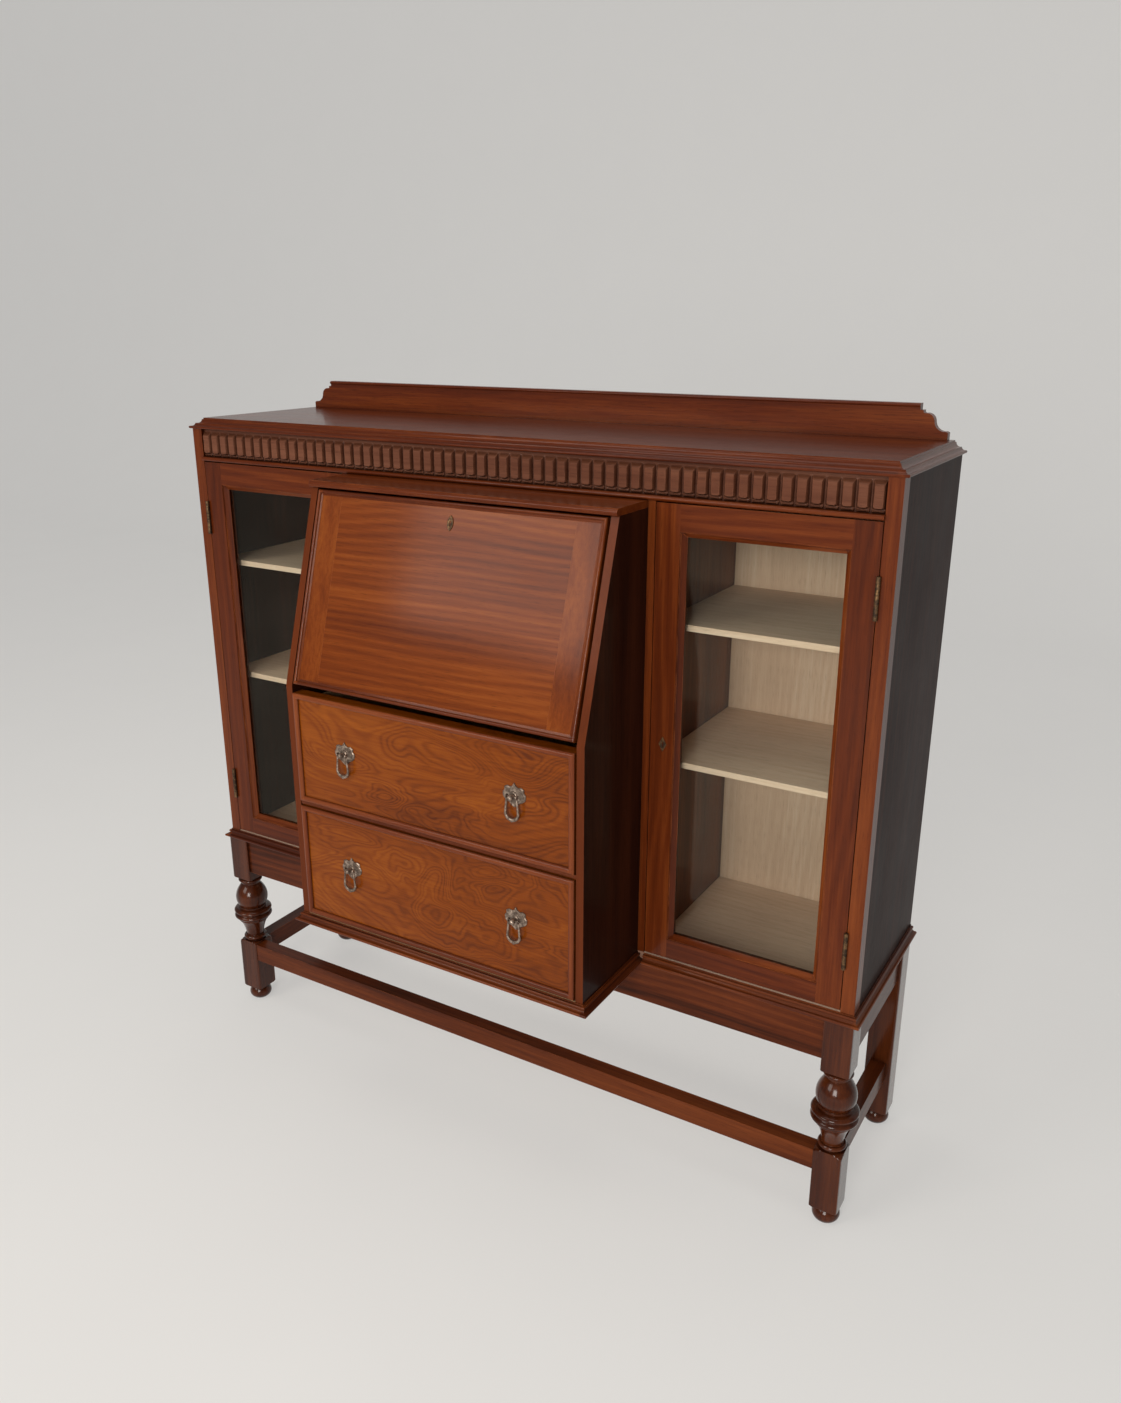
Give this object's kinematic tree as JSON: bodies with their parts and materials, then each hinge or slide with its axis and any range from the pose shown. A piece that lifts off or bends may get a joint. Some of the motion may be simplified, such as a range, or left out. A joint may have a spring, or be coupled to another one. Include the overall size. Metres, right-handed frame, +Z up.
{
  "type": "secretary desk",
  "caption": "Glossy dark mahogany slant-front secretary desk flanked by glazed cupboards, on a low stand with turned front legs and stretchers.",
  "frame": {"origin": "centre of the footprint on the floor", "axes": "+X to the right of someone facing the desk, -Y out of its front, +Z up"},
  "size_m": [1.242, 0.484, 1.181],
  "materials": {
    "mahogany": "French polish, glossy",
    "mahogany_dark": "French polish, glossy",
    "figured_veneer": "French polish, glossy",
    "carved_mahogany": "worn polish",
    "ply": "raw, matt",
    "drawer_lining": "raw, matt",
    "glass": "clear",
    "brass": "aged",
    "steel": "aged"
  },
  "bodies": {
    "carcass": {"aprons": "mahogany_dark", "back_panel": "ply", "base_moulding": "mahogany", "bureau_bottom": "drawer_lining", "bureau_side_left": "mahogany", "bureau_side_right": "mahogany", "bureau_top": "mahogany", "carved_frieze": "carved_mahogany", "case_bottom": "ply", "corner_stile_left": "mahogany", "corner_stile_right": "mahogany", "drawer_divider": "drawer_lining", "drawer_guides": "drawer_lining", "fall_stop_strips": "mahogany", "fixed_hinge_leaves": "brass", "frieze_bead": "mahogany", "gallery": "mahogany", "leg_back_left": "mahogany_dark", "leg_back_right": "mahogany_dark", "leg_front_left": "mahogany_dark", "leg_front_right": "mahogany_dark", "partition_left": "mahogany", "partition_right": "mahogany", "pigeonhole_nest": "drawer_lining", "shelves_left": "ply", "shelves_right": "ply", "side_panel_left": "mahogany_dark", "side_panel_right": "mahogany_dark", "stay_keepers": "brass", "stretchers": "mahogany_dark", "top_board": "mahogany", "writing_bed": "mahogany"},
    "fall": {"fall_panel": "figured_veneer", "fall_clamps": "figured_veneer", "fall_edge_moulding": "mahogany", "fall_fittings": "brass", "fall_stays": "brass"},
    "fall_bolt": {"fall_lock_bolt": "steel"},
    "door_left": {"door_left_frame": "mahogany", "door_left_glazing_beads": "mahogany", "door_left_pane": "glass", "door_left_fittings": "brass"},
    "door_left_bolt": {"door_left_lock_bolt": "steel"},
    "door_right": {"door_right_frame": "mahogany", "door_right_glazing_beads": "mahogany", "door_right_pane": "glass", "door_right_fittings": "brass"},
    "door_right_bolt": {"door_right_lock_bolt": "steel"},
    "drawer_lower": {"drawer_lower_front": "figured_veneer", "drawer_lower_edge_moulding": "mahogany", "drawer_lower_box": "drawer_lining", "drawer_lower_handle_plates": "brass"},
    "handle_lower_left": {"drawer_lower_drop_left": "brass"},
    "handle_lower_right": {"drawer_lower_drop_right": "brass"},
    "drawer_upper": {"drawer_upper_front": "figured_veneer", "drawer_upper_edge_moulding": "mahogany", "drawer_upper_box": "drawer_lining", "drawer_upper_handle_plates": "brass"},
    "handle_upper_left": {"drawer_upper_drop_left": "brass"},
    "handle_upper_right": {"drawer_upper_drop_right": "brass"}
  },
  "joints": [
    {"name": "fall_hinge", "type": "hinge", "parent": "carcass", "child": "fall", "pos_m": [0, -0.20695, 0.77071], "axis": [1, 0, 0], "range_deg": [0, 106.7]},
    {"name": "fall_bolt_slide", "type": "slide", "parent": "fall", "child": "fall_bolt", "axis": [0, 0.2874, 0.9578], "range_m": [0, 0.011]},
    {"name": "door_right_hinge", "type": "hinge", "parent": "carcass", "child": "door_right", "pos_m": [0.5834, -0.0585, 0.716], "axis": [0, 0, 1], "range_deg": [0, 105]},
    {"name": "door_left_hinge", "type": "hinge", "parent": "carcass", "child": "door_left", "pos_m": [-0.5834, -0.0585, 0.716], "axis": [0, 0, -1], "range_deg": [0, 105]},
    {"name": "door_right_bolt_slide", "type": "slide", "parent": "door_right", "child": "door_right_bolt", "axis": [-1, 0, 0], "range_m": [0, 0.006]},
    {"name": "door_left_bolt_slide", "type": "slide", "parent": "door_left", "child": "door_left_bolt", "axis": [1, 0, 0], "range_m": [0, 0.006]},
    {"name": "drawer_lower_slide", "type": "slide", "parent": "carcass", "child": "drawer_lower", "axis": [0, -1, 0], "range_m": [0, 0.32]},
    {"name": "handle_lower_left_swing", "type": "hinge", "parent": "drawer_lower", "child": "handle_lower_left", "pos_m": [-0.153, -0.2338, 0.47525], "axis": [-1, 0, 0], "range_deg": [0, 95]},
    {"name": "handle_lower_right_swing", "type": "hinge", "parent": "drawer_lower", "child": "handle_lower_right", "pos_m": [0.153, -0.2338, 0.47525], "axis": [-1, 0, 0], "range_deg": [0, 95]},
    {"name": "drawer_upper_slide", "type": "slide", "parent": "carcass", "child": "drawer_upper", "axis": [0, -1, 0], "range_m": [0, 0.32]},
    {"name": "handle_upper_left_swing", "type": "hinge", "parent": "drawer_upper", "child": "handle_upper_left", "pos_m": [-0.153, -0.2338, 0.66815], "axis": [-1, 0, 0], "range_deg": [0, 95]},
    {"name": "handle_upper_right_swing", "type": "hinge", "parent": "drawer_upper", "child": "handle_upper_right", "pos_m": [0.153, -0.2338, 0.66815], "axis": [-1, 0, 0], "range_deg": [0, 95]}
  ]
}
